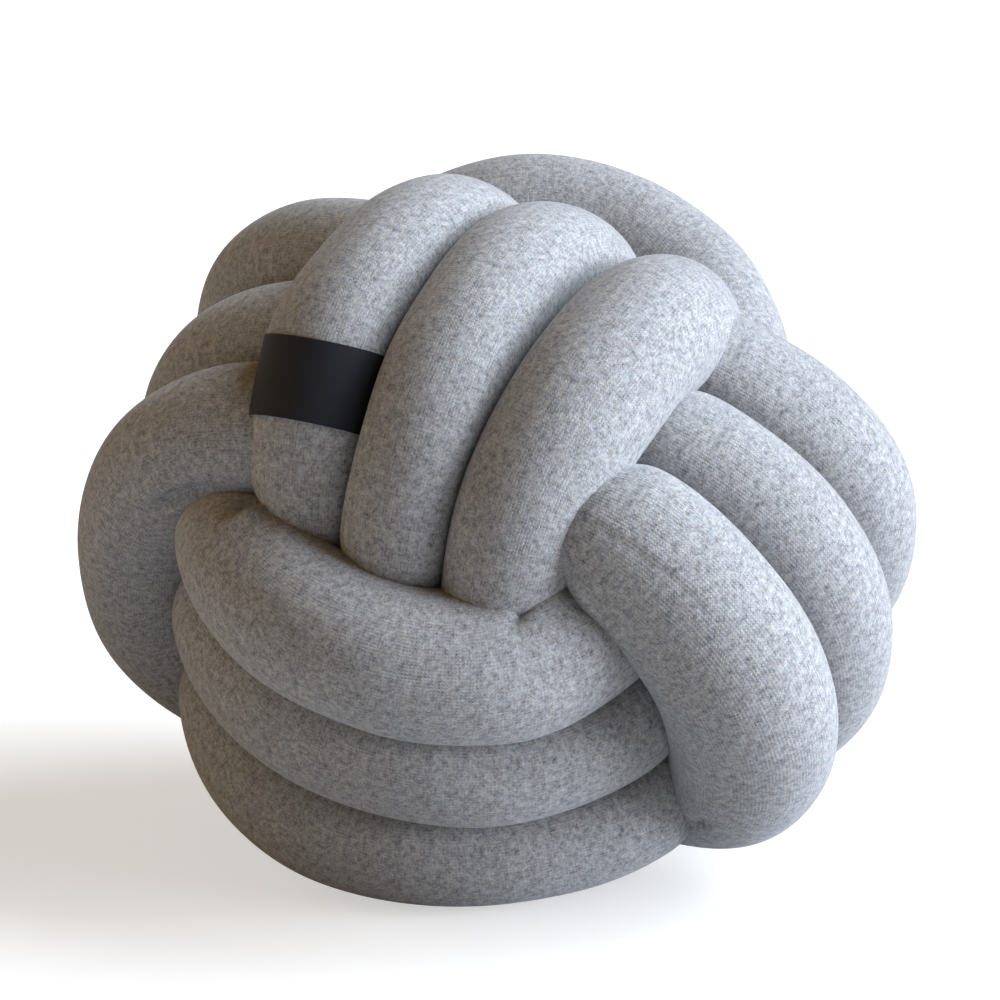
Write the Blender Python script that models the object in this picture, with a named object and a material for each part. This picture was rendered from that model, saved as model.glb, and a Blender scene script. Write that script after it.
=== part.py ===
"""Knotted ball cushion: a stuffed jersey tube tied as a three-strand ball knot, with a woven label.

The tube crosses itself in three sets of three loops. Each face of the ball shows three strands side by
side, and the ends of each trio dive under the trio of the next face. Sizes are in metres, +Z is up, and
the ball rests on the flat spot at z = 0.
"""

from math import cos, degrees, exp, pi, radians, sin

import bmesh
import bpy
from mathutils import Euler, Matrix, Vector

MM = 0.001

# Driving sizes of the tube and of the ball
TUBE_RADIUS = 28 * MM
LOOP_ROUNDNESS = 2.2
CORE_RADIUS = 96 * MM
SAG = 13 * MM
KNOT_TURN = (31, 12, -22)

# Fineness of the solids
LOOP_STEPS = 48
TUBE_SIDES = 16
CORE_SUBDIVISIONS = 3

# The knot's own directions before it is turned to rest: right face, top face, front face
RIGHT = Vector((1, 0, 0))
TOP = Vector((0, 0, 1))
FRONT = Vector((0, -1, 0))

# Each set of loops: the way it runs long, the way it dives under, and the way it is stacked
SETS = {
    "top": (TOP, FRONT, RIGHT),
    "right": (RIGHT, TOP, FRONT),
    "front": (FRONT, RIGHT, TOP),
}

# One row for each loop, in millimetres from the middle of the ball. "near" and "far" are how far out its
# middle line runs on the face it is named for and on the face behind. "under" and "under_far" are how far
# out it dives. The four "at" columns are its place in the stack at those four points.
COLUMNS = ("near", "far", "under", "under_far", "at_near", "at_far", "at_under", "at_under_far")
LOOPS = (
    ("top", 1, (113, 114, 79, 83, -46, -50, -36, -38)),
    ("top", 2, (114, 109, 84, 86, -3, 0, 1, 2)),
    ("top", 3, (112, 102, 80, 78, 45, 48, 35, 41)),
    ("right", 1, (127, 121, 91, 80, 48, 59, 44, 43)),
    ("right", 2, (132, 122, 87, 87, -2, 2, 0, 0)),
    ("right", 3, (122, 128, 84, 86, -54, -55, -41, -41)),
    ("front", 1, (110, 117, 76, 83, 54, 54, 40, 43)),
    ("front", 2, (112, 120, 86, 87, 5, 1, 0, 0)),
    ("front", 3, (116, 117, 94, 90, -44, -49, -39, -39)),
)

# Where a strand leans away from its loop: the angle and the spread in degrees, then how far, in millimetres,
# its middle line moves outwards and along the stack, and how much fuller the tube is there.
LEAN_COLUMNS = ("out", "stack", "fuller")
LEANS = (
    ("top", 1, -30, 30, 0, 3, 0),
    ("top", 1, 18, 14, 0, -2, 0),
    ("top", 1, 60, 30, 0, 2, 0),
    ("top", 1, 60, 18, -3, 0, 0),
    ("top", 2, 30, 30, 0, 0, 1),
    ("top", 2, -30, 30, 0, 0, -1),
    ("top", 3, 45, 35, 3, -3, 0),
    ("top", 3, -30, 35, -3, 5, 0),
    ("top", 3, 60, 14, 0, 2, -2),
    ("right", 1, 15, 40, 0, 3, 4),
    ("right", 1, 60, 20, 1, 0, 2),
    ("right", 1, 92, 22, -14, 0, -4),
    ("right", 1, -40, 30, 0, -4, -2),
    ("right", 1, -45, 18, 0, -3, 0),
    ("right", 1, -60, 18, -3, 0, -3),
    ("right", 1, -150, 30, 0, 6, 1),
    ("right", 1, 180, 25, -4, 0, 0),
    ("right", 3, -30, 30, -2, 0, -1),
    ("right", 3, 140, 18, 0, -3, 0),
    ("front", 1, 30, 30, 0, -2, 0),
    ("front", 1, -30, 30, 0, 2, 0),
    ("front", 1, 38, 14, 0, 0, 2),
    ("front", 1, 60, 18, 0, 3, 0),
    ("front", 1, -60, 18, 0, -3, 0),
    ("front", 1, -150, 40, 1, 3, 1),
    ("front", 1, 160, 30, -2, -6, 0),
    ("front", 2, 0, 40, -2, 0, 0),
    ("front", 2, -60, 18, 0, 0, 3),
    ("front", 3, 30, 30, -2, 3, 0),
    ("front", 3, 60, 18, 3, 0, 0),
)

# The label is a straight band round the first top loop: where its middle is along the loop, where on the loop
# the tube runs the way that the band does, its width and its thickness. How far it reaches round the tube, to
# the crease with the second loop and to the outer side, is given for its upper edge and for its lower edge.
LABEL_SET, LABEL_LOOP = "top", 1
LABEL_AT = radians(29)
LABEL_RUNS_AS = radians(32)
LABEL_WIDTH = 30 * MM
LABEL_THICKNESS = 1.2 * MM
LABEL_LIFT = 0.5 * MM
LABEL_REACH_IN = (radians(42), radians(37))
LABEL_REACH_OUT = (radians(60), radians(49))
LABEL_STEPS_ALONG = 6
LABEL_STEPS_ROUND = 16

FABRIC_COLOUR = (0.33, 0.33, 0.345, 1.0)
LABEL_COLOUR = (0.016, 0.016, 0.02, 1.0)


def clear_scene():
    for old in list(bpy.data.objects):
        bpy.data.objects.remove(old, do_unlink=True)


def cloth_material(name, colour, roughness):
    material = bpy.data.materials.new(name)
    material.use_nodes = True
    shader = material.node_tree.nodes["Principled BSDF"]
    shader.inputs["Base Color"].default_value = colour
    shader.inputs["Roughness"].default_value = roughness
    shader.inputs["Metallic"].default_value = 0.0
    return material


def signed_power(value, power):
    return abs(value) ** power if value >= 0 else -abs(value) ** power


def leaning(set_name, sizes, angle, column):
    """How much of one column of the leans a loop has at an angle."""
    total = 0.0
    for lean_set, number, at, spread, *amounts in LEANS:
        if (lean_set, number, sizes) in LOOPS and lean_set == set_name:
            apart = (degrees(angle) - at + 180) % 360 - 180
            total += dict(zip(LEAN_COLUMNS, amounts))[column] * exp(-((apart / spread) ** 2))
    return total


def loop_point(set_name, sizes, angle):
    """A point on a loop's middle line, where angle 0 is the crown of its near face."""
    size = dict(zip(COLUMNS, sizes))
    run, dive, stack = SETS[set_name]
    c, s = cos(angle), sin(angle)
    long_reach = size["near"] if c > 0 else size["far"]
    short_reach = size["under"] if s > 0 else size["under_far"]
    along = long_reach * signed_power(c, 2 / LOOP_ROUNDNESS)
    across = short_reach * signed_power(s, 2 / LOOP_ROUNDNESS)
    place = (size["at_near"] * max(c, 0) ** 2 + size["at_far"] * max(-c, 0) ** 2
             + size["at_under"] * max(s, 0) ** 2 + size["at_under_far"] * max(-s, 0) ** 2)
    out = leaning(set_name, sizes, angle, "out")
    place += leaning(set_name, sizes, angle, "stack")
    return (run * (along + out * c) + dive * (across + out * s) + stack * place) * MM


def tube_radius(set_name, sizes, angle):
    return TUBE_RADIUS + leaning(set_name, sizes, angle, "fuller") * MM


def loop_frame(set_name, sizes, angle):
    """Middle point, outward direction and sideways direction of the tube at an angle of its loop."""
    small = radians(0.5)
    here = loop_point(set_name, sizes, angle)
    ahead = loop_point(set_name, sizes, angle + small) - loop_point(set_name, sizes, angle - small)
    ahead.normalize()
    stack = SETS[set_name][2]
    outward = ahead.cross(stack)
    if outward.dot(here) < 0:
        outward.negate()
    outward.normalize()
    sideways = ahead.cross(outward)
    return here, outward, sideways


def even_angles(set_name, sizes, steps):
    """Angles that divide a loop's middle line into equal lengths."""
    fine = 720
    points = [loop_point(set_name, sizes, 2 * pi * i / fine) for i in range(fine + 1)]
    lengths = [0.0]
    for a, b in zip(points, points[1:]):
        lengths.append(lengths[-1] + (b - a).length)
    angles = []
    at = 0
    for step in range(steps):
        goal = lengths[-1] * step / steps
        while lengths[at + 1] < goal:
            at += 1
        part = (goal - lengths[at]) / (lengths[at + 1] - lengths[at])
        angles.append(2 * pi * (at + part) / fine)
    return angles


def new_object(name, mesh_data, material):
    mesh = bpy.data.meshes.new(name)
    mesh_data.to_mesh(mesh)
    mesh_data.free()
    mesh.materials.append(material)
    thing = bpy.data.objects.new(name, mesh)
    bpy.context.scene.collection.objects.link(thing)
    return thing


def ring_points(set_name, sizes, angle):
    here, outward, sideways = loop_frame(set_name, sizes, angle)
    radius = tube_radius(set_name, sizes, angle)
    points = []
    for side in range(TUBE_SIDES):
        turn = 2 * pi * (side + 0.5) / TUBE_SIDES
        points.append(here + (outward * cos(turn) + sideways * sin(turn)) * radius)
    return points


def tube(name, set_name, sizes, material):
    """One closed loop of the stuffed tube, as rings of faces joined end to end."""
    data = bmesh.new()
    rings = []
    for angle in even_angles(set_name, sizes, LOOP_STEPS):
        rings.append([data.verts.new(point) for point in ring_points(set_name, sizes, angle)])
    for i, ring in enumerate(rings):
        following = rings[(i + 1) % LOOP_STEPS]
        for j in range(TUBE_SIDES):
            k = (j + 1) % TUBE_SIDES
            data.faces.new((ring[j], ring[k], following[k], following[j]))
    bmesh.ops.recalc_face_normals(data, faces=data.faces)
    return new_object(name, data, material)


def core(material):
    """The stuffing behind the strands, which closes the middle of the ball."""
    data = bmesh.new()
    bmesh.ops.create_icosphere(data, subdivisions=CORE_SUBDIVISIONS, radius=CORE_RADIUS)
    return new_object("core", data, material)


def join_solid(target, piece):
    """Boolean union of a piece into the target.

    The manifold solver is used because the exact one loses strands where many facets cross at once.
    """
    union = target.modifiers.new("join", "BOOLEAN")
    union.operation = "UNION"
    union.solver = "MANIFOLD"
    union.object = piece
    bpy.context.view_layer.update()
    evaluated = target.evaluated_get(bpy.context.evaluated_depsgraph_get())
    mesh = bpy.data.meshes.new_from_object(evaluated)
    target.modifiers.remove(union)
    target.data = mesh
    bpy.data.objects.remove(piece, do_unlink=True)


def connected_vertices(start):
    """All vertices that edges connect with the start, which is marked as seen."""
    found, waiting = [], [start]
    start.tag = True
    while waiting:
        vertex = waiting.pop()
        found.append(vertex)
        for edge in vertex.link_edges:
            other = edge.other_vert(vertex)
            if not other.tag:
                other.tag = True
                waiting.append(other)
    return found


def fill_pockets(thing):
    """The stuffing fills the small closed pockets between the strands: only the outer skin stays."""
    data = bmesh.new()
    data.from_mesh(thing.data)
    for vertex in data.verts:
        vertex.tag = False
    skins = [connected_vertices(vertex) for vertex in data.verts if not vertex.tag]
    skins.sort(key=len)
    for pocket in skins[:-1]:
        bmesh.ops.delete(data, geom=pocket, context="VERTS")
    data.to_mesh(thing.data)
    data.free()


def rest_transform(thing):
    """The turn that lays the knot down, with the floor at z = 0 a little up into its lowest strands."""
    turn = Euler([radians(a) for a in KNOT_TURN]).to_matrix()
    turned = [turn @ vertex.co for vertex in thing.data.vertices]
    lows = [min(point[i] for point in turned) for i in range(3)]
    highs = [max(point[i] for point in turned) for i in range(3)]
    shift = Vector((-(lows[0] + highs[0]) / 2, -(lows[1] + highs[1]) / 2, -lows[2] - SAG))
    return Matrix.Translation(shift) @ turn.to_4x4()


def flatten_base(thing):
    """Cuts off what lies below the floor and closes the flat spot."""
    data = bmesh.new()
    data.from_mesh(thing.data)
    geometry = data.verts[:] + data.edges[:] + data.faces[:]
    cut = bmesh.ops.bisect_plane(data, geom=geometry, plane_co=(0, 0, 0), plane_no=(0, 0, -1), clear_outer=True)
    rim = [item for item in cut["geom_cut"] if isinstance(item, bmesh.types.BMEdge)]
    bmesh.ops.holes_fill(data, edges=rim, sides=0)
    bmesh.ops.recalc_face_normals(data, faces=data.faces)
    data.to_mesh(thing.data)
    data.free()


def build_knot(material):
    knot = core(material)
    for set_name, number, sizes in LOOPS:
        join_solid(knot, tube(f"{set_name}_{number}", set_name, sizes, material))
    knot.name = "knot_body"
    fill_pockets(knot)
    placing = rest_transform(knot)
    knot.data.transform(placing)
    flatten_base(knot)
    knot.data.shade_smooth()
    knot.data.set_sharp_from_angle(angle=radians(40))
    return knot, placing


def label_sizes():
    return next(sizes for name, number, sizes in LOOPS if (name, number) == (LABEL_SET, LABEL_LOOP))


def between(ends, share):
    return ends[0] + (ends[1] - ends[0]) * share


def label_row(data, sizes, share, radius):
    """One line of points round the tube, at a share of the way from the upper to the lower edge."""
    here = loop_point(LABEL_SET, sizes, LABEL_AT)
    _, outward, sideways = loop_frame(LABEL_SET, sizes, LABEL_RUNS_AS)
    down = sideways.cross(outward)
    if down.dot(loop_point(LABEL_SET, sizes, LABEL_RUNS_AS) - here) < 0:
        down.negate()
    first = -between(LABEL_REACH_IN, share)
    last = between(LABEL_REACH_OUT, share)
    row = []
    for i in range(LABEL_STEPS_ROUND + 1):
        turn = between((first, last), i / LABEL_STEPS_ROUND)
        out = (outward * cos(turn) + sideways * sin(turn)) * radius
        row.append(data.verts.new(here + down * LABEL_WIDTH * (share - 0.5) + out))
    return row


def label_band(placing, material):
    """The label: a thin curved strip wrapped over the crown of the tube, from crease to crease."""
    sizes = label_sizes()
    inner = TUBE_RADIUS + LABEL_LIFT
    outer = inner + LABEL_THICKNESS
    data = bmesh.new()
    layers = []
    for radius in (inner, outer):
        grid = []
        for i in range(LABEL_STEPS_ALONG + 1):
            grid.append(label_row(data, sizes, i / LABEL_STEPS_ALONG, radius))
        layers.append(grid)
    for grid in layers:
        for a, b in zip(grid, grid[1:]):
            for i in range(LABEL_STEPS_ROUND):
                data.faces.new((a[i], a[i + 1], b[i + 1], b[i]))
    low, high = layers
    for end in (0, -1):
        for i in range(LABEL_STEPS_ROUND):
            data.faces.new((low[end][i], low[end][i + 1], high[end][i + 1], high[end][i]))
        for a in range(LABEL_STEPS_ALONG):
            data.faces.new((low[a][end], low[a + 1][end], high[a + 1][end], high[a][end]))
    bmesh.ops.recalc_face_normals(data, faces=data.faces)
    data.transform(placing)
    label = new_object("label_band", data, material)
    label.data.shade_smooth()
    label.data.set_sharp_from_angle(angle=radians(40))
    return label


def main():
    clear_scene()
    jersey = cloth_material("jersey", FABRIC_COLOUR, 0.95)
    tape = cloth_material("label_tape", LABEL_COLOUR, 0.6)
    knot, placing = build_knot(jersey)
    label_band(placing, tape)


main()
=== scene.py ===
"""Looks of the knotted ball cushion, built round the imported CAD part.

The file is laid out as a Blender add-on and is run as a script. One operator ties the stuffed strands, one
lays the label round its strand, and one sets the floor, the lights and the camera.
"""

from math import cos, pi, radians, sin

import bmesh
import bpy
import numpy as np
from mathutils import Euler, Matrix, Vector
from mathutils.bvhtree import BVHTree


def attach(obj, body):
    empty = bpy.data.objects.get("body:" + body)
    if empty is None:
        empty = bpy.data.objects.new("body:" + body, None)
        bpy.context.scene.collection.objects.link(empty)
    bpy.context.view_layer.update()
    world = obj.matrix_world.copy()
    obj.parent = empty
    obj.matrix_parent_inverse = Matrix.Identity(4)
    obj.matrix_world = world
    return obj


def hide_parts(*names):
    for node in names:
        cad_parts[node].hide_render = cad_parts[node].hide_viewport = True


bl_info = {
    "name": "Knotted ball cushion",
    "version": (1, 0, 0),
    "blender": (4, 5, 0),
    "location": "View3D > Sidebar > Cushion",
    "description": "Ties a stuffed jersey tube as a ball knot, with a woven label and a plain studio",
    "category": "Object",
}

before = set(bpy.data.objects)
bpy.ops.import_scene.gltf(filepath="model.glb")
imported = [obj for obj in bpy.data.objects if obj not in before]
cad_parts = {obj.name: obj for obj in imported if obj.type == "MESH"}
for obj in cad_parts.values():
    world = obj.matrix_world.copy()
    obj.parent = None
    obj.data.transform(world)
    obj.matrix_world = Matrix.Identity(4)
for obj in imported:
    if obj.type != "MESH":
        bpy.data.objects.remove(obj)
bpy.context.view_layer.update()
MM = 0.001

# The knot before it is turned to rest, as in the part's source. Each set of loops has the way it runs long,
# the way it dives under and the way it is stacked, for a right face on +X, a top face on +Z and a front
# on -Y.
SETS = {
    "top": ((0, 0, 1), (0, -1, 0), (1, 0, 0)),
    "right": ((1, 0, 0), (0, 0, 1), (0, -1, 0)),
    "front": ((0, -1, 0), (1, 0, 0), (0, 0, 1)),
}

# The set whose crowns cross over each set's dives
CROSSED_BY = {"top": "front", "right": "top", "front": "right"}

# Each loop's reach from the knot's middle at its near and far faces and where it dives under, then its
# places along the stack there, in millimetres. A roundness of 2 is an ellipse, and a higher one is squarer.
COLUMNS = ("near", "far", "under", "under_far", "at_near", "at_far", "at_under", "at_under_far")
LOOPS = (
    ("top", 1, (113, 114, 79, 83, -46, -50, -36, -38)),
    ("top", 2, (114, 109, 84, 86, -3, 0, 1, 2)),
    ("top", 3, (112, 102, 80, 78, 45, 48, 35, 41)),
    ("right", 1, (127, 121, 91, 80, 48, 59, 44, 43)),
    ("right", 2, (132, 122, 87, 87, -2, 2, 0, 0)),
    ("right", 3, (122, 128, 84, 86, -54, -55, -41, -41)),
    ("front", 1, (110, 117, 76, 83, 54, 54, 40, 43)),
    ("front", 2, (112, 120, 86, 87, 5, 1, 0, 0)),
    ("front", 3, (116, 117, 94, 90, -44, -49, -39, -39)),
)
LOOP_ROUNDNESS = 2.2

# Where a strand leans away from its loop: the angle and the spread in degrees, then how far its middle line
# moves outwards and along the stack, and how much fuller the tube is there, in millimetres
LEAN_COLUMNS = ("out", "stack", "fuller")
LEANS = (
    ("top", 1, -30, 30, 0, 3, 0),
    ("top", 1, 18, 14, 0, -2, 0),
    ("top", 1, 60, 30, 0, 2, 0),
    ("top", 1, 60, 18, -3, 0, 0),
    ("top", 2, 30, 30, 0, 0, 1),
    ("top", 2, -30, 30, 0, 0, -1),
    ("top", 3, 45, 35, 3, -3, 0),
    ("top", 3, -30, 35, -3, 5, 0),
    ("top", 3, 60, 14, 0, 2, -2),
    ("right", 1, 15, 40, 0, 3, 4),
    ("right", 1, 60, 20, 1, 0, 2),
    ("right", 1, 92, 22, -14, 0, -4),
    ("right", 1, -40, 30, 0, -4, -2),
    ("right", 1, -45, 18, 0, -3, 0),
    ("right", 1, -60, 18, -3, 0, -3),
    ("right", 1, -150, 30, 0, 6, 1),
    ("right", 1, 180, 25, -4, 0, 0),
    ("right", 3, -30, 30, -2, 0, -1),
    ("right", 3, 140, 18, 0, -3, 0),
    ("front", 1, 30, 30, 0, -2, 0),
    ("front", 1, -30, 30, 0, 2, 0),
    ("front", 1, 38, 14, 0, 0, 2),
    ("front", 1, 60, 18, 0, 3, 0),
    ("front", 1, -60, 18, 0, -3, 0),
    ("front", 1, -150, 40, 1, 3, 1),
    ("front", 1, 160, 30, -2, -6, 0),
    ("front", 2, 0, 40, -2, 0, 0),
    ("front", 2, -60, 18, 0, 0, 3),
    ("front", 3, 30, 30, -2, 3, 0),
    ("front", 3, 60, 18, 3, 0, 0),
)

# Small tucks in the cloth: the loop's angle, the turn round the tube and the way the tuck runs from the
# strand's own way, in degrees, then its half length, half width and depth in millimetres. A depth below zero
# is a ridge. The last two let a strand sink under the groove of the two that cross over it.
TUCK_COLUMNS = ("at", "turn", "heading", "length", "width", "depth")
TUCKS = (
    ("front", 1, (-40, -86, 85, 8, 2.5, 4)),
    ("front", 1, (-36, -90, 80, 7, 2.5, -3)),
    ("front", 1, (-33, -76, 60, 10, 1.8, 0.9)),
    ("front", 1, (-29, -72, 60, 10, 1.8, 0.8)),
    ("front", 1, (-25, -74, 65, 9, 1.8, 0.7)),
    ("front", 1, (39, -84, 145, 8, 2, 4)),
    ("front", 1, (36, -60, 95, 14, 1.6, 0.5)),
    ("front", 1, (49, -90, 0, 9, 7, -3)),
    ("right", 1, (138, -90, 0, 15, 2.6, 5)),
    ("right", 1, (141, -76, 0, 13, 4, -1)),
    ("right", 1, (53, -36, 0, 24, 1.4, 0.5)),
    ("right", 1, (53, -31, 0, 24, 1.4, -0.4)),
    ("right", 1, (-19, -96, 0, 8, 3, 3)),
    ("right", 3, (80, 37, 90, 26, 12, 9)),
    ("right", 3, (-80, 37, 90, 28, 12, 9)),
)

# How the knot is turned to rest, in degrees, and where its middle then lies, in millimetres
KNOT_TURN = (31, 12, -22)
KNOT_PLACE = (-0.07, -2.41, 120.99)

# Uneven swells of the stuffing: how many there are along a loop and round its tube
SWELLS = ((3, 1), (5, 2), (7, 1), (11, 3), (14, 2))
SWELL_SEED = 40

# Fineness of a strand's mesh, where Blender's torus takes at most 256 of each, of the middle lines that its
# neighbours are measured from, and of the steps in which a loop's length and slope are measured
RINGS = 256
SIDES = 112
LINE_POINTS = 240
LENGTH_STEPS = 1440
SLOPE_STEP = radians(0.5)

# The gap between middle lines, in metres, below which a strand that crosses over presses no harder
CROSSING_GAP = 0.030

# Sizes of the jersey's lumps, in millimetres round the tube and along it: flecks of light and dark fibre,
# patches and clouds of them, wandering of the stitches, spots where the stitches are worn, tints and fuzz
FLECK = (2.3, 2.6)
PATCH = (4.8, 5.6)
CLOUD = (16, 24)
WANDER = (9, 12)
WORN = 6.0
TINT = 1.8
FUZZ = 0.8

# Tints of the warm and cool fibres, how strongly the stitches are shaded, and how far the stitches and the
# fuzz stand proud, in millimetres
WARM = (1.04, 1.0, 0.95)
COOL = (0.97, 1.0, 1.04)
KNIT_SHADE = 0.09
KNIT_RELIEF = 0.04
FUZZ_RELIEF = 0.09

# The label lies on the first top loop. It reaches round the tube, in degrees, from the crease with the
# second loop to the crease behind the outer side, and is pulled so taut that it keeps this share of a
# straight line along the tube.
LABEL_LOOP = 0
LABEL_REACH = (-72, 134)
LABEL_TAUT = 0.8
LABEL_LIFT = 0.25 * MM
LABEL_THICKNESS = 0.45 * MM
LABEL_ROWS = 16
LABEL_COLUMNS = 72

# Pitch of the tape's threads along and across it, in metres, and the size of its lint, in millimetres
TAPE_WARP = 0.0005
TAPE_WEFT = 0.00035
LINT = (0.5, 1.2)

# The soft boxes: the azimuth from the front and the height they stand at, and how broad they look from the
# part, in degrees, then their colour
LIGHT_COLUMNS = ("azimuth", "rise", "spread", "colour")
LIGHTS = (
    ("key", (76, 6, 36, (0.81, 0.88, 1.0))),
    ("upper", (97, 40, 50, (0.80, 0.90, 1.0))),
    ("fill", (-100, 20, 60, (1.0, 0.62, 0.17))),
)
ROOM_COLOUR = (1.0, 0.63, 0.32, 1.0)
WHITE = (1.0, 1.0, 1.0, 1.0)
PAPER = (0.62, 0.62, 0.62, 1.0)
FLOOR_SIZE = 40

# The camera: its lens and sensor in millimetres, its height in degrees, its distance from the knot's middle
# in metres, and how far it stands to the right and up in millimetres
LENS = 149.8
SENSOR = 36
CAMERA_RISE = 15
CAMERA_AWAY = 1.6
CAMERA_SHIFT = (1.15, 14.2)


class StrandSizes(bpy.types.PropertyGroup):
    radius: bpy.props.FloatProperty(
        name="Tube radius", description="Radius of the stuffed tube where nothing presses on it",
        default=0.028, min=0.01, max=0.06, subtype="DISTANCE", unit="LENGTH")
    crispness: bpy.props.FloatProperty(
        name="Crease crispness", description="How sharply the cloth turns in where strands press together",
        default=10.0, min=4.0, max=30.0)
    press: bpy.props.FloatProperty(
        name="Press", description="Share by which strands push into each other, so that no gap shows",
        default=0.015, min=0.0, max=0.05)
    unevenness: bpy.props.FloatProperty(
        name="Unevenness", description="How far the stuffing swells and sinks along a strand",
        default=0.0005, min=0.0, max=0.004, subtype="DISTANCE", unit="LENGTH")


class JerseyFinish(bpy.types.PropertyGroup):
    light_yarn: bpy.props.FloatVectorProperty(
        name="Light fibres", description="Colour of the light fibres in the melange yarn",
        default=(0.60, 0.605, 0.62), min=0.0, max=1.0, subtype="COLOR")
    dark_yarn: bpy.props.FloatVectorProperty(
        name="Dark fibres", description="Colour of the dark fibres in the melange yarn",
        default=(0.085, 0.085, 0.09), min=0.0, max=1.0, subtype="COLOR")
    contrast: bpy.props.FloatProperty(
        name="Fleck contrast", description="How strongly the light and dark fibres stand apart",
        default=1.5, min=0.0, max=6.0)
    wale: bpy.props.FloatProperty(
        name="Wale pitch", description="Distance from one column of stitches to the next",
        default=0.0012, min=0.0005, max=0.004, subtype="DISTANCE", unit="LENGTH")
    course: bpy.props.FloatProperty(
        name="Course pitch", description="Distance from one row of stitches to the next",
        default=0.00125, min=0.0004, max=0.004, subtype="DISTANCE", unit="LENGTH")


class LabelSizes(bpy.types.PropertyGroup):
    width: bpy.props.FloatProperty(
        name="Tape width", description="Width of the label along the strand",
        default=0.030, min=0.01, max=0.05, subtype="DISTANCE", unit="LENGTH")
    place: bpy.props.FloatProperty(
        name="Place on the loop", description="Angle from the crown of the loop to the middle of the label",
        default=radians(28), subtype="ANGLE", unit="ROTATION")
    slant: bpy.props.FloatProperty(
        name="Slant", description="How far the label is turned from square across the strand",
        default=radians(-5), subtype="ANGLE", unit="ROTATION")
    colour: bpy.props.FloatVectorProperty(
        name="Tape colour", description="Colour of the woven tape",
        default=(0.0115, 0.0125, 0.0185), min=0.0, max=1.0, subtype="COLOR")


class StudioLight(bpy.types.PropertyGroup):
    key: bpy.props.FloatProperty(
        name="Key light", description="Strength of the broad cool light, low at the right",
        default=5.2, min=0.0)
    upper: bpy.props.FloatProperty(
        name="Upper light", description="Strength of the cool light, high at the right",
        default=4.2, min=0.0)
    fill: bpy.props.FloatProperty(
        name="Fill light", description="Strength of the weak warm light at the left",
        default=0.62, min=0.0)
    room: bpy.props.FloatProperty(
        name="Room light", description="Strength of the even warm light from all round",
        default=0.11, min=0.0)
    glow: bpy.props.FloatProperty(
        name="Floor glow", description="Light that comes through the white floor to the camera",
        default=0.55, min=0.0, max=1.0)


def turned(points):
    """Points of the knot, in millimetres, where they lie in the frame, in metres."""
    turn = np.array(Euler([radians(a) for a in KNOT_TURN]).to_matrix())
    return (points @ turn.T + np.array(KNOT_PLACE)) * MM


def signed_power(value, power):
    """A power of a value's size that keeps its sign."""
    return np.sign(value) * np.abs(value) ** power


def leaning(number, angles, column):
    """How much of one column of the leans a loop has at each angle."""
    total = np.zeros(len(angles))
    for set_name, place, at, spread, *amounts in LEANS:
        if (set_name, place) == LOOPS[number][:2]:
            apart = (np.degrees(angles) - at + 180) % 360 - 180
            total += dict(zip(LEAN_COLUMNS, amounts))[column] * np.exp(-((apart / spread) ** 2))
    return total


def middle_line(number, angles):
    """Points on a loop's middle line, where angle 0 is the crown of its near face."""
    set_name, _, sizes = LOOPS[number]
    size = dict(zip(COLUMNS, sizes))
    run, dive, stack = (np.array(way, float) for way in SETS[set_name])
    c, s = np.cos(angles), np.sin(angles)
    along = np.where(c > 0, size["near"], size["far"]) * signed_power(c, 2 / LOOP_ROUNDNESS)
    across = np.where(s > 0, size["under"], size["under_far"]) * signed_power(s, 2 / LOOP_ROUNDNESS)
    place = (size["at_near"] * np.maximum(c, 0) ** 2 + size["at_far"] * np.maximum(-c, 0) ** 2
             + size["at_under"] * np.maximum(s, 0) ** 2 + size["at_under_far"] * np.maximum(-s, 0) ** 2)
    out = leaning(number, angles, "out")
    place = place + leaning(number, angles, "stack")
    points = np.outer(along + out * c, run) + np.outer(across + out * s, dive) + np.outer(place, stack)
    return turned(points)


def unit(vectors):
    """Vectors of the same directions, one long."""
    return vectors / np.linalg.norm(vectors, axis=-1, keepdims=True)


def tube_frame(number, angles):
    """Middle points of the tube at angles of its loop, with its outward and sideways directions there."""
    here = middle_line(number, angles)
    ahead = unit(middle_line(number, angles + SLOPE_STEP) - middle_line(number, angles - SLOPE_STEP))
    centre = turned(np.zeros((1, 3)))
    stack = turned(np.array([SETS[LOOPS[number][0]][2]], float)) - centre
    outward = unit(np.cross(ahead, stack))
    outward *= np.sign(((here - centre) * outward).sum())
    return here, outward, np.cross(ahead, outward)


def even_angles(number, steps, start):
    """Angles from a start once round the loop that divide its middle line into equal lengths."""
    angles = start + np.linspace(0, 2 * pi, LENGTH_STEPS + 1)
    points = middle_line(number, angles)
    lengths = np.concatenate([[0], np.cumsum(np.linalg.norm(np.diff(points, axis=0), axis=1))])
    return np.interp(lengths[-1] * np.arange(steps) / steps, lengths, angles)


def rays_round(outward, sideways, turns):
    """Directions out of the tube's middle line, at turns from its outward direction."""
    c, s = np.cos(turns)[None, :, None], np.sin(turns)[None, :, None]
    return outward[:, None] * c + sideways[:, None] * s


def swelling(number, angles, turns, depth):
    """Small uneven swells of the stuffing, the same each time for a strand."""
    draw = np.random.default_rng(SWELL_SEED + number)
    total = np.zeros((len(angles), len(turns)))
    for along, around in SWELLS:
        phase, twist = draw.uniform(0, 2 * pi, 2)
        total += np.outer(np.cos(along * angles + phase), np.cos(around * turns + twist)) / np.sqrt(along)
    return depth * total


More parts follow.
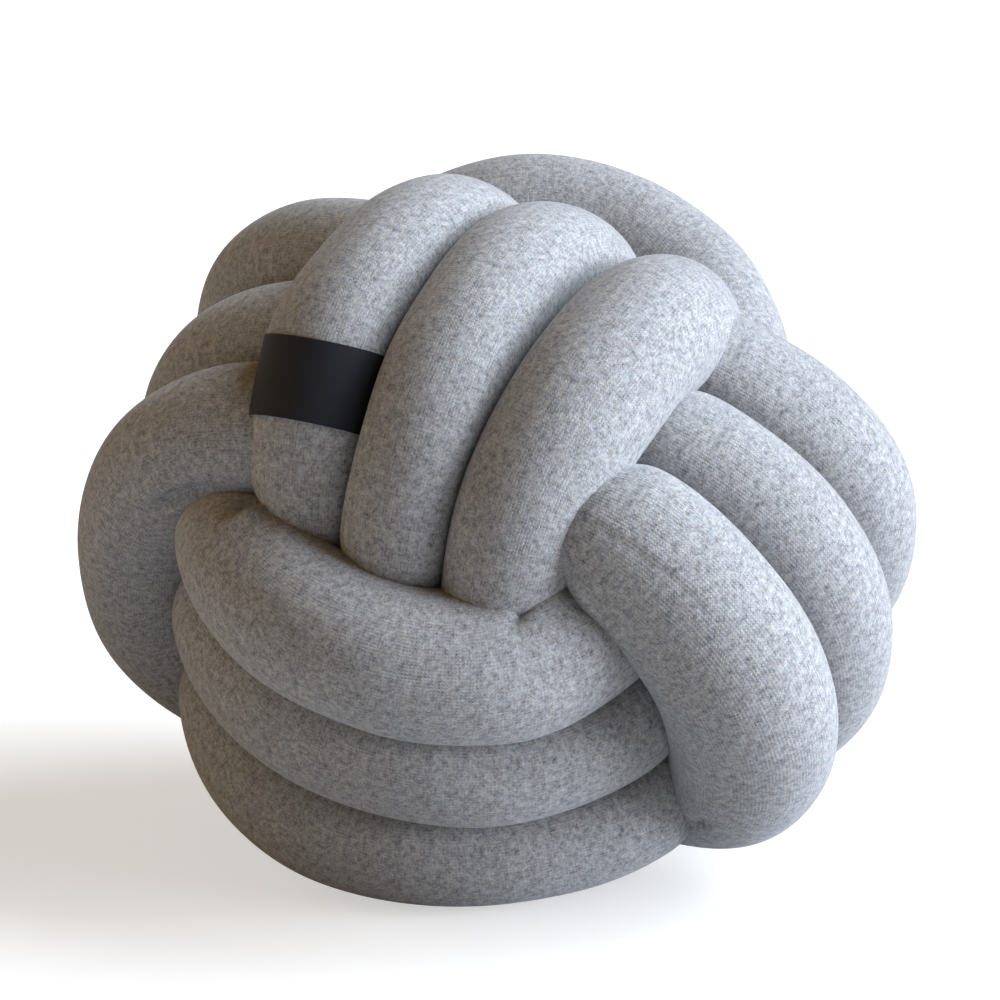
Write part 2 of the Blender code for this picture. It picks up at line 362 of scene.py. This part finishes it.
def tucked(number, angles, turns, radius):
    """How deep the tucks of a strand lie at each angle and turn."""
    total = np.zeros((len(angles), len(turns)))
    for set_name, place, sizes in TUCKS:
        if (set_name, place) != LOOPS[number][:2]:
            continue
        size = dict(zip(TUCK_COLUMNS, sizes))
        at, turn, heading = (radians(size[name]) for name in ("at", "turn", "heading"))
        ends = middle_line(number, np.array([at - SLOPE_STEP, at + SLOPE_STEP]))
        stride = np.linalg.norm(ends[1] - ends[0]) / (2 * SLOPE_STEP)
        ahead = ((angles - at + pi) % (2 * pi) - pi)[:, None] * stride
        aside = ((turns - turn + pi) % (2 * pi) - pi)[None] * radius
        run = (ahead * cos(heading) + aside * sin(heading)) / (size["length"] * MM)
        off = (aside * cos(heading) - ahead * sin(heading)) / (size["width"] * MM)
        total += size["depth"] * MM * np.exp(-run ** 2 - off ** 2)
    return total


def cloth_reach(centres, rays, free, beside, over, strand):
    """How far out the cloth lies along each ray: its free radius, or less where something presses on it.

    Two strands side by side share the gap between their middle lines, so each one stops half way. A strand
    that crosses over presses the one below it, and keeps its own round form. The floor presses too. The
    soft minimum rounds the lips of the crease.
    """
    power = strand.crispness
    tightness = free ** -power
    for line, crosses in [(line, False) for line in beside] + [(line, True) for line in over]:
        gap = line[None] - centres[:, None]
        square = (gap ** 2).sum(-1)
        closeness = 2 * ((rays @ np.swapaxes(gap, 1, 2)) / square[:, None]).max(axis=2)
        if crosses:
            closeness *= np.minimum(np.sqrt(square.min(axis=1)) / CROSSING_GAP, 1)[:, None]
        tightness += np.maximum(closeness * (1 - strand.press), 0) ** power
    floor = -rays[..., 2] / centres[:, None, 2]
    tightness += np.maximum(floor, 0) ** power
    return tightness ** (-1 / power)


def strand_surface(number, angles, turns, strand):
    """Points of a strand's cloth on a grid of loop angles and of turns round the tube."""
    set_name = LOOPS[number][0]
    centres, outward, sideways = tube_frame(number, angles)
    rays = rays_round(outward, sideways, turns)
    beside, over = [], []
    for other, (other_set, _, _) in enumerate(LOOPS):
        line = middle_line(other, np.linspace(0, 2 * pi, LINE_POINTS))
        if other_set == set_name and other != number:
            beside.append(line)
        if other_set == CROSSED_BY[set_name]:
            over.append(line)
    free = strand.radius + leaning(number, angles, "fuller")[:, None] * MM
    free = free + swelling(number, angles, turns, strand.unevenness)
    reach = cloth_reach(centres, rays, free, beside, over, strand)
    reach -= tucked(number, angles, turns, strand.radius)
    return centres[:, None] + rays * reach[..., None]


def deselect():
    """Leaves nothing selected, because an operator acts on all that is."""
    bpy.ops.object.select_all(action="DESELECT")


def face_outwards(piece):
    """Turns every face of a closed piece to the outside."""
    bpy.context.view_layer.objects.active = piece
    bpy.ops.object.mode_set(mode="EDIT")
    bpy.ops.mesh.select_all(action="SELECT")
    bpy.ops.mesh.normals_make_consistent(inside=False)
    bpy.ops.object.mode_set(mode="OBJECT")


def lay_cloth_map(mesh, rings, sides, length, girth):
    """A UV map in metres: across is round the tube and up is along it. Both seams lie inside the knot."""
    corners = np.zeros(len(mesh.loops), int)
    mesh.loops.foreach_get("vertex_index", corners)
    ring, side = (corners // sides).reshape(-1, 4), (corners % sides).reshape(-1, 4)
    ring = np.where((np.ptp(ring, axis=1) > 1)[:, None] & (ring == 0), rings, ring)
    side = np.where((np.ptp(side, axis=1) > 1)[:, None] & (side == 0), sides, side)
    uv = np.stack([side.ravel() * girth / sides, ring.ravel() * length / rings], axis=1)
    layer = mesh.uv_layers.new(name="cloth")
    layer.data.foreach_set("uv", uv.astype(np.float32).ravel())


def tie_strand(number, strand, material):
    """One stuffed strand, from a torus whose rings lie along the loop, pressed by its neighbours."""
    set_name, place, sizes = LOOPS[number]
    bpy.ops.mesh.primitive_torus_add(
        major_segments=RINGS, minor_segments=SIDES, major_radius=sizes[0] * MM,
        minor_radius=strand.radius, generate_uvs=False)
    piece = bpy.context.object
    piece.name = piece.data.name = f"strand_{set_name}_{place}"
    angles = even_angles(number, RINGS, pi / 2)
    turns = pi + 2 * pi * np.arange(SIDES) / SIDES
    points = strand_surface(number, angles, turns, strand)
    piece.data.vertices.foreach_set("co", points.astype(np.float32).ravel())
    crown = np.roll(points[:, SIDES // 2], -1, axis=0) - points[:, SIDES // 2]
    length = np.linalg.norm(crown, axis=1).sum()
    lay_cloth_map(piece.data, RINGS, SIDES, length, 2 * pi * strand.radius)
    piece.location = piece.rotation_euler = (0, 0, 0)
    face_outwards(piece)
    bpy.ops.object.shade_smooth()
    piece.data.materials.append(material)
    return piece


class Nodes:
    """Short calls for wiring a material."""

    def __init__(self, name):
        self.material = bpy.data.materials.new(name)
        self.material.use_nodes = True
        self.tree = self.material.node_tree
        self.shader = self.tree.nodes["Principled BSDF"]

    def add(self, kind, **settings):
        """A new node with its settings."""
        node = self.tree.nodes.new(kind)
        for key, value in settings.items():
            setattr(node, key, value)
        return node

    def link(self, start, end):
        """A wire from an output to an input."""
        self.tree.links.new(start, end)

    def cloth(self):
        """The piece's own map in metres, with its coordinates across and along."""
        place = self.add("ShaderNodeUVMap", uv_map="cloth").outputs["UV"]
        split = self.add("ShaderNodeSeparateXYZ")
        self.link(place, split.inputs["Vector"])
        return place, split.outputs["X"], split.outputs["Y"]

    def math(self, operation, first, second=None, third=None):
        """One operation on numbers and sockets."""
        node = self.add("ShaderNodeMath", operation=operation)
        for place, value in enumerate((first, second, third)):
            if value is None:
                continue
            if isinstance(value, (int, float)):
                node.inputs[place].default_value = value
            else:
                self.link(value, node.inputs[place])
        return node.outputs[0]

    def noise(self, coordinates, size, detail=2.0, rough=0.5):
        """Noise with lumps of a size in millimetres, which may differ across and along."""
        across, along = size if isinstance(size, tuple) else (size, size)
        mapping = self.add("ShaderNodeMapping")
        mapping.inputs["Scale"].default_value = (1000 / across, 1000 / along, 1000 / along)
        self.link(coordinates, mapping.inputs["Vector"])
        node = self.add("ShaderNodeTexNoise")
        node.inputs["Scale"].default_value = 1.0
        node.inputs["Detail"].default_value = detail
        node.inputs["Roughness"].default_value = rough
        self.link(mapping.outputs["Vector"], node.inputs["Vector"])
        return node.outputs["Fac"]

    def wave(self, coordinate, pitch, shift=None):
        """A smooth wave from -1 to 1 with a pitch in metres."""
        turn = self.math("MULTIPLY", coordinate, 2 * pi / pitch)
        if shift is not None:
            turn = self.math("ADD", turn, shift)
        return self.math("SINE", turn)

    def times(self, first, second):
        """One colour multiplied by another."""
        node = self.add("ShaderNodeMix", data_type="RGBA", blend_type="MULTIPLY")
        node.inputs["Factor"].default_value = 1.0
        colours = [socket for socket in node.inputs if socket.type == "RGBA"]
        self.link(first, colours[0])
        self.link(second, colours[1])
        return next(socket for socket in node.outputs if socket.type == "RGBA")

    def ramp(self, value, stops):
        """A colour that goes from stop to stop with a value."""
        node = self.add("ShaderNodeValToRGB")
        elements = node.color_ramp.elements
        while len(elements) < len(stops):
            elements.new(0.5)
        for element, (place, colour) in zip(elements, stops):
            element.position = place
            element.color = (*colour, 1.0)
        self.link(value, node.inputs["Fac"])
        return node.outputs["Color"]

    def raise_by(self, height, distance, strength):
        """Relief of the surface, where a height of 1 stands a distance in metres proud."""
        bump = self.add("ShaderNodeBump")
        bump.inputs["Strength"].default_value = strength
        bump.inputs["Distance"].default_value = distance
        self.link(height, bump.inputs["Height"])
        self.link(bump.outputs["Normal"], self.shader.inputs["Normal"])

    def set_shader(self, **settings):
        """Sets the shader's own sockets, named with underscores for spaces."""
        for name, value in settings.items():
            self.shader.inputs[name.replace("_", " ")].default_value = value


def jersey_material(finish):
    """Melange jersey: light and dark fibres in flecks, fine stitches and a soft fuzz."""
    nodes = Nodes("heather_jersey")
    cloth, across, along = nodes.cloth()

    # Flecks, patches a sixth as strong, and faint clouds, all round a middle tone
    flecks = nodes.noise(cloth, FLECK, detail=2.0, rough=1.0)
    patches = nodes.noise(cloth, PATCH, detail=0.0)
    clouds = nodes.noise(cloth, CLOUD, detail=1.0)
    contrast = finish.contrast
    tone = nodes.math("MULTIPLY_ADD", flecks, contrast, 0.5 - contrast / 2)
    tone = nodes.math("ADD", tone, nodes.math("MULTIPLY_ADD", patches, contrast / 6, -contrast / 12))
    tone = nodes.math("ADD", tone, nodes.math("MULTIPLY_ADD", clouds, 0.1, -0.05))

    # Columns and rows of stitches that wander a little, the rows stepped from column to column
    wander = nodes.math("MULTIPLY", nodes.noise(cloth, WANDER, detail=1.0), 4.0)
    columns = nodes.wave(across, finish.wale, wander)
    stitches = nodes.wave(along, finish.course, nodes.math("MULTIPLY_ADD", columns, 1.4, wander))
    knit = nodes.math("ADD", nodes.math("MULTIPLY", stitches, 0.5), nodes.math("MULTIPLY", columns, 0.5))
    worn = nodes.math("MULTIPLY_ADD", nodes.noise(cloth, WORN, detail=1.0), 3.0, -0.6)
    knit = nodes.math("MULTIPLY", knit, nodes.math("MAXIMUM", worn, 0.3))
    tone = nodes.math("ADD", tone, nodes.math("MULTIPLY", knit, KNIT_SHADE))

    # Warm and cool fibres
    colour = nodes.ramp(tone, ((0.0, tuple(finish.dark_yarn)), (1.0, tuple(finish.light_yarn))))
    tints = nodes.noise(cloth, TINT, detail=1.0)
    tint = nodes.ramp(tints, ((0.35, WARM), (0.65, COOL)))
    nodes.link(nodes.times(colour, tint), nodes.shader.inputs["Base Color"])

    fuzz = nodes.noise(cloth, FUZZ, detail=2.0, rough=0.7)
    height = nodes.math("MULTIPLY_ADD", knit, KNIT_RELIEF, nodes.math("MULTIPLY", fuzz, FUZZ_RELIEF))
    nodes.raise_by(height, distance=1.0 * MM, strength=0.8)
    nodes.set_shader(Roughness=0.95, Specular_IOR_Level=0.15, Sheen_Weight=0.25, Sheen_Roughness=0.45,
                     Sheen_Tint=(0.86, 0.9, 1.0, 1.0))
    return nodes.material


def label_material(label):
    """Black woven tape: a fine weave with some lint, and a dull gloss."""
    nodes = Nodes("woven_tape")
    cloth, across, along = nodes.cloth()
    weave = nodes.math("MULTIPLY", nodes.wave(across, TAPE_WARP), nodes.wave(along, TAPE_WEFT))
    lint = nodes.noise(cloth, LINT, detail=3.0, rough=0.7)
    tone = nodes.math("ADD", nodes.math("MULTIPLY_ADD", weave, 0.12, 0.5),
                      nodes.math("MULTIPLY_ADD", lint, 0.5, -0.25))
    base = tuple(label.colour)
    darker = tuple(0.72 * part for part in base)
    lighter = tuple(1.7 * part for part in base)
    colour = nodes.ramp(tone, ((0.25, darker), (0.55, base), (0.85, lighter)))
    nodes.link(colour, nodes.shader.inputs["Base Color"])
    nodes.raise_by(nodes.math("MULTIPLY_ADD", weave, 0.5, lint), distance=0.2 * MM, strength=0.5)
    nodes.set_shader(Roughness=0.62, Specular_IOR_Level=0.25, Sheen_Weight=0.06, Sheen_Roughness=0.4)
    return nodes.material


def band_points(piece, label):
    """Points of the label, in rows round the tube: a straight band that lies on the cloth of its strand."""
    centre, outward, square = tube_frame(LABEL_LOOP, np.array([label.place]))
    along = np.cross(outward, square)
    sideways = square * cos(label.slant) + along * sin(label.slant)
    ahead = np.cross(outward[0], sideways[0])
    turns = np.radians(np.linspace(*LABEL_REACH, LABEL_COLUMNS + 1))
    rays = rays_round(outward, sideways, turns)[0]
    mesh = piece.data
    cloth = BVHTree.FromPolygons([v.co for v in mesh.vertices], [f.vertices for f in mesh.polygons])
    starts = centre + np.outer(np.linspace(-0.5, 0.5, LABEL_ROWS + 1) * label.width, ahead)
    far = 60 * MM
    reach = np.array([[far - cloth.ray_cast(Vector(start + ray * far), Vector(-ray))[3] for ray in rays]
                      for start in starts])
    reach += LABEL_TAUT * (reach.max(axis=0) - reach) + LABEL_LIFT
    return starts[:, None] + rays[None] * reach[..., None]


def lay_label_map(mesh, width, length):
    """A UV map in metres: across is over the tape's width and up is along it, round the tube."""
    corners = np.zeros(len(mesh.loops), int)
    mesh.loops.foreach_get("vertex_index", corners)
    column, row = corners % (LABEL_COLUMNS + 1), corners // (LABEL_COLUMNS + 1)
    uv = np.stack([row * width / LABEL_ROWS, column * length / LABEL_COLUMNS], axis=1)
    for old in list(mesh.uv_layers):
        mesh.uv_layers.remove(old)
    mesh.uv_layers.new(name="cloth").data.foreach_set("uv", uv.astype(np.float32).ravel())


def face_label_out(mesh):
    """Turns the label's face away from the middle of the knot."""
    data = bmesh.new()
    data.from_mesh(mesh)
    data.faces.ensure_lookup_table()
    middle = data.faces[len(data.faces) // 2]
    centre = Vector(turned(np.zeros((1, 3)))[0])
    if middle.normal.dot(middle.calc_center_median() - centre) < 0:
        bmesh.ops.reverse_faces(data, faces=data.faces)
    data.to_mesh(mesh)
    data.free()


class CUSHION_OT_strands(bpy.types.Operator):
    """Tie the nine strands of the ball knot and dress them in jersey"""

    bl_idname = "cushion.strands"
    bl_label = "Tie the strands"

    def execute(self, context):
        props = context.scene.cushion_strand
        material = jersey_material(context.scene.cushion_jersey)
        for number in range(len(LOOPS)):
            deselect()
            piece = tie_strand(number, props, material)
            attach(piece, "root")
            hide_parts("knot_body")
        return {"FINISHED"}


class CUSHION_OT_label(bpy.types.Operator):
    """Lay the woven label round its strand, from crease to crease"""

    bl_idname = "cushion.label"
    bl_label = "Lay the label"

    def execute(self, context):
        label = context.scene.cushion_label
        points = band_points(bpy.data.objects["strand_top_1"], label)
        deselect()
        bpy.ops.mesh.primitive_grid_add(x_subdivisions=LABEL_COLUMNS, y_subdivisions=LABEL_ROWS, size=1)
        piece = bpy.context.object
        piece.name = piece.data.name = "woven_label"
        piece.data.vertices.foreach_set("co", points.astype(np.float32).ravel())
        length = np.linalg.norm(np.diff(points[LABEL_ROWS // 2], axis=0), axis=1).sum()
        lay_label_map(piece.data, label.width, length)
        face_label_out(piece.data)
        solid = piece.modifiers.new("thickness", "SOLIDIFY")
        solid.thickness = LABEL_THICKNESS
        solid.offset = 1.0
        bpy.ops.object.modifier_apply(modifier=solid.name)
        bpy.ops.object.shade_smooth_by_angle(angle=radians(40))
        piece.data.materials.append(label_material(label))
        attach(piece, "root")
        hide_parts("label_band")
        return {"FINISHED"}


def paper_material(studio):
    """White paper for the floor, lit through from below so that the camera sees it pale."""
    nodes = Nodes("pale_paper")
    glow = nodes.math("MULTIPLY", nodes.add("ShaderNodeLightPath").outputs["Is Camera Ray"], studio.glow)
    nodes.link(glow, nodes.shader.inputs["Emission Strength"])
    nodes.set_shader(Emission_Color=WHITE, Base_Color=PAPER, Roughness=0.9, Specular_IOR_Level=0.1)
    return nodes.material


def lay_floor(studio):
    """The pale floor that the part stands on."""
    bpy.ops.mesh.primitive_plane_add(size=FLOOR_SIZE, location=(0, 0, 0))
    floor = bpy.context.object
    floor.name = "studio_floor"
    floor.data.materials.append(paper_material(studio))


def light_room(scene, studio):
    """A dim warm room, which the camera sees as plain white."""
    world = bpy.data.worlds.new("studio_room")
    scene.world = world
    world.use_nodes = True
    room = world.node_tree
    dim = room.nodes["Background"]
    dim.inputs["Color"].default_value = ROOM_COLOUR
    dim.inputs["Strength"].default_value = studio.room
    white = room.nodes.new("ShaderNodeBackground")
    white.inputs["Color"].default_value = WHITE
    seen = room.nodes.new("ShaderNodeMixShader")
    room.links.new(room.nodes.new("ShaderNodeLightPath").outputs["Is Camera Ray"], seen.inputs["Fac"])
    room.links.new(dim.outputs["Background"], seen.inputs[1])
    room.links.new(white.outputs["Background"], seen.inputs[2])
    room.links.new(seen.outputs["Shader"], room.nodes["World Output"].inputs["Surface"])


def soft_light(scene, name, place, strength):
    """A broad, distant soft box."""
    light = bpy.data.lights.new(f"{name}_light", "SUN")
    light.energy = strength
    light.angle = radians(place["spread"])
    light.color = place["colour"]
    lamp = bpy.data.objects.new(light.name, light)
    scene.collection.objects.link(lamp)
    lamp.rotation_euler = (radians(90 - place["rise"]), 0, radians(place["azimuth"]))


def stand_camera(scene):
    """A camera in front, a little above the part, that looks down at it."""
    rise = radians(CAMERA_RISE)
    up = Vector((0, sin(rise), cos(rise)))
    back = Vector((0, -cos(rise), sin(rise)))
    aside, higher = CAMERA_SHIFT
    camera_data = bpy.data.cameras.new("camera")
    camera_data.lens = LENS
    camera_data.sensor_width = SENSOR
    camera = bpy.data.objects.new("camera", camera_data)
    scene.collection.objects.link(camera)
    middle = Vector(KNOT_PLACE) * MM
    camera.location = middle + back * CAMERA_AWAY + Vector((aside * MM, 0, 0)) + up * higher * MM
    camera.rotation_euler = (radians(90 - CAMERA_RISE), 0, 0)
    scene.camera = camera


class CUSHION_OT_stage(bpy.types.Operator):
    """Set the pale floor, the soft studio light and the camera"""

    bl_idname = "cushion.stage"
    bl_label = "Set the stage"

    def execute(self, context):
        scene = context.scene
        studio = scene.cushion_light
        deselect()
        lay_floor(studio)
        light_room(scene, studio)
        for name, sizes in LIGHTS:
            soft_light(scene, name, dict(zip(LIGHT_COLUMNS, sizes)), getattr(studio, name))
        stand_camera(scene)
        scene.view_settings.view_transform = "Standard"
        return {"FINISHED"}


class CUSHION_PT_sidebar(bpy.types.Panel):
    bl_idname = "CUSHION_PT_sidebar"
    bl_label = "Knotted ball cushion"
    bl_space_type = "VIEW_3D"
    bl_region_type = "UI"
    bl_category = "Cushion"

    def draw(self, context):
        for pointer, group in GROUPS:
            box = self.layout.box()
            for name in group.__annotations__:
                box.prop(getattr(context.scene, pointer), name)
        for operator in OPERATORS:
            self.layout.operator(operator.bl_idname)


GROUPS = (
    ("cushion_strand", StrandSizes),
    ("cushion_jersey", JerseyFinish),
    ("cushion_label", LabelSizes),
    ("cushion_light", StudioLight),
)
OPERATORS = (CUSHION_OT_strands, CUSHION_OT_label, CUSHION_OT_stage)
CLASSES = tuple(group for _, group in GROUPS) + OPERATORS + (CUSHION_PT_sidebar,)


def register():
    for item in CLASSES:
        bpy.utils.register_class(item)
    for name, group in GROUPS:
        setattr(bpy.types.Scene, name, bpy.props.PointerProperty(type=group))


def unregister():
    for name, _ in GROUPS:
        delattr(bpy.types.Scene, name)
    for item in reversed(CLASSES):
        bpy.utils.unregister_class(item)


def main():
    register()
    bpy.ops.cushion.strands()
    bpy.ops.cushion.label()
    bpy.ops.cushion.stage()


if __name__ == "__main__":
    main()
